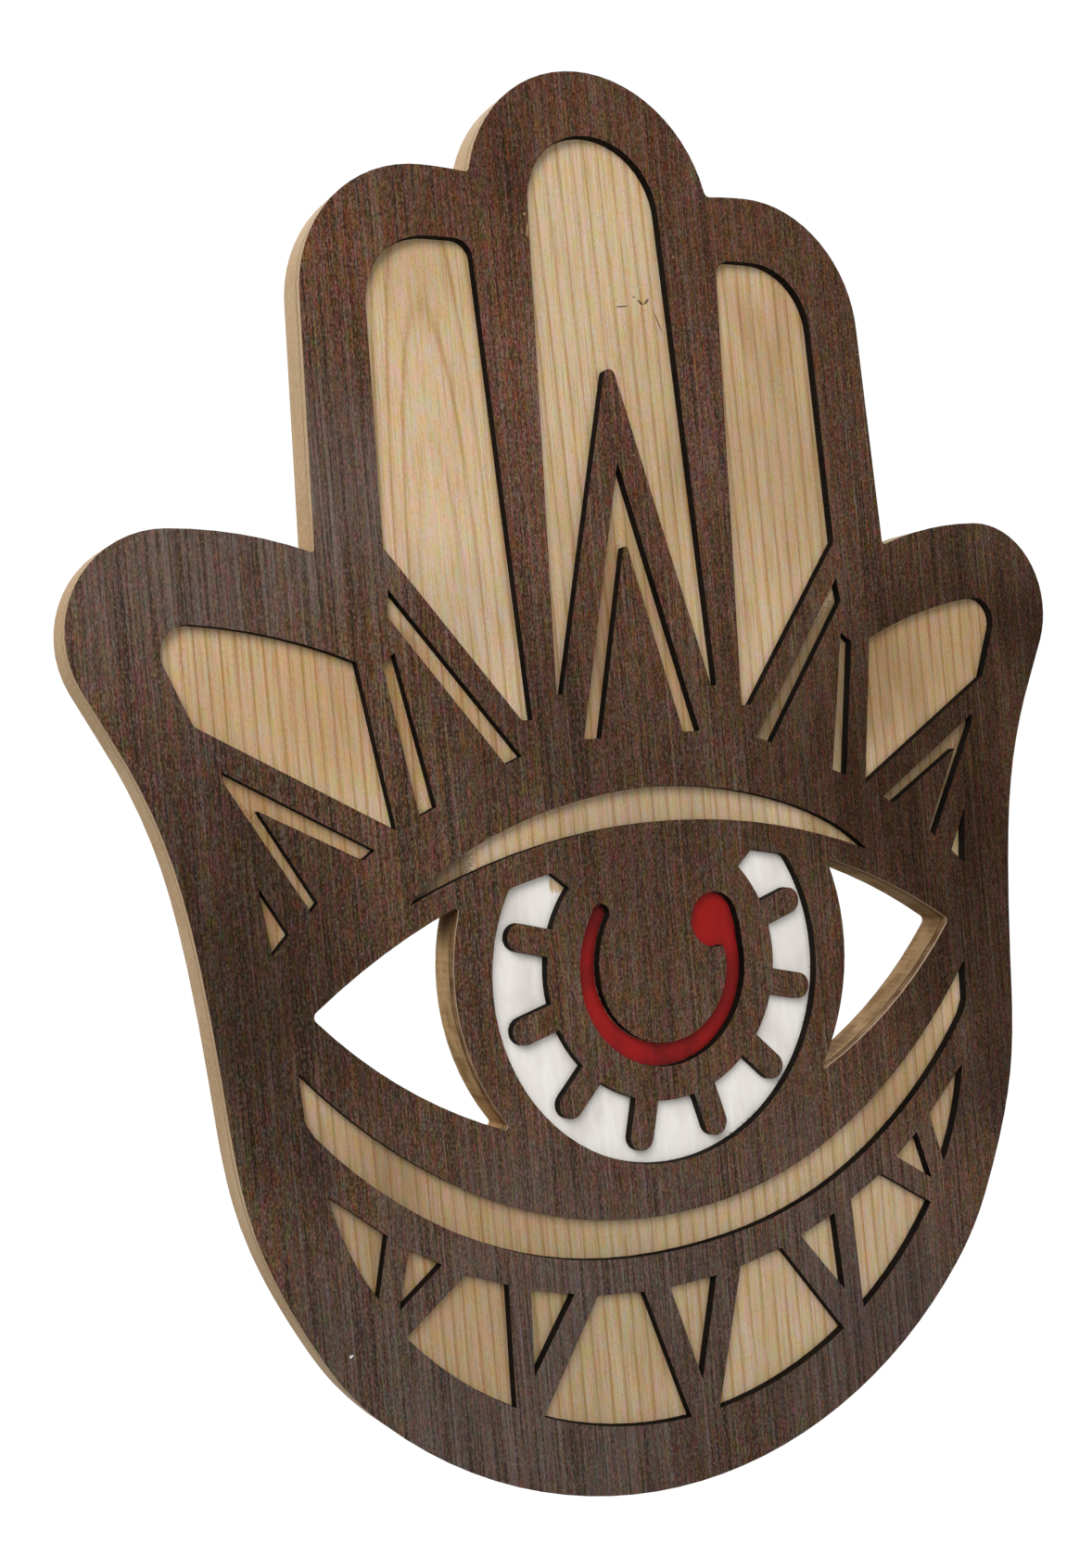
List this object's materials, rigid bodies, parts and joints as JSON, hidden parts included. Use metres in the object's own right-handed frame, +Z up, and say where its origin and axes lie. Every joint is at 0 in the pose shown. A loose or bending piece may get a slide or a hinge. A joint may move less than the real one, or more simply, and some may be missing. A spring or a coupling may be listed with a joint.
{
  "type": "hamsa wall plaque",
  "caption": "Wooden hamsa hand wall plaque: dark fret-cut front board over a pale veneered back board, painted eye, hinged ring hanger and felt pads behind.",
  "frame": {"origin": "on the wall plane, where the hook sits, in line with the inside of the ring's crown", "axes": "+Z up, +Y into the wall (the front faces -Y), +X to the viewer's right"},
  "size_m": [0.332, 0.016, 0.4152],
  "materials": {
    "pale_veneer": "satin, straight upright grain",
    "board_core": "sawn edge, plain tan; cut walls of the front board scorched",
    "dark_veneer": "satin, very dark brown with fine upright streaks",
    "white_paint": "matt brushed paint film",
    "red_paint": "matt brushed paint film",
    "plated_steel": "zinc plated",
    "felt": "felt"
  },
  "bodies": {
    "plaque": {"back_veneer": "pale_veneer", "back_board": "board_core", "face_veneer": "pale_veneer", "fret_board": "board_core", "fret_veneer": "dark_veneer", "eye_white_paint": "white_paint", "crescent_red_paint": "red_paint", "hanger_strap": "plated_steel", "hanger_screws": "plated_steel", "felt_pads": "felt"},
    "ring": {"hanger_ring": "plated_steel"}
  },
  "joints": [
    {"name": "ring_swing", "type": "hinge", "parent": "plaque", "child": "ring", "pos_m": [0, -0.00212, -0.01944], "axis": [-1, 0, 0], "range_deg": [0, 150]}
  ]
}
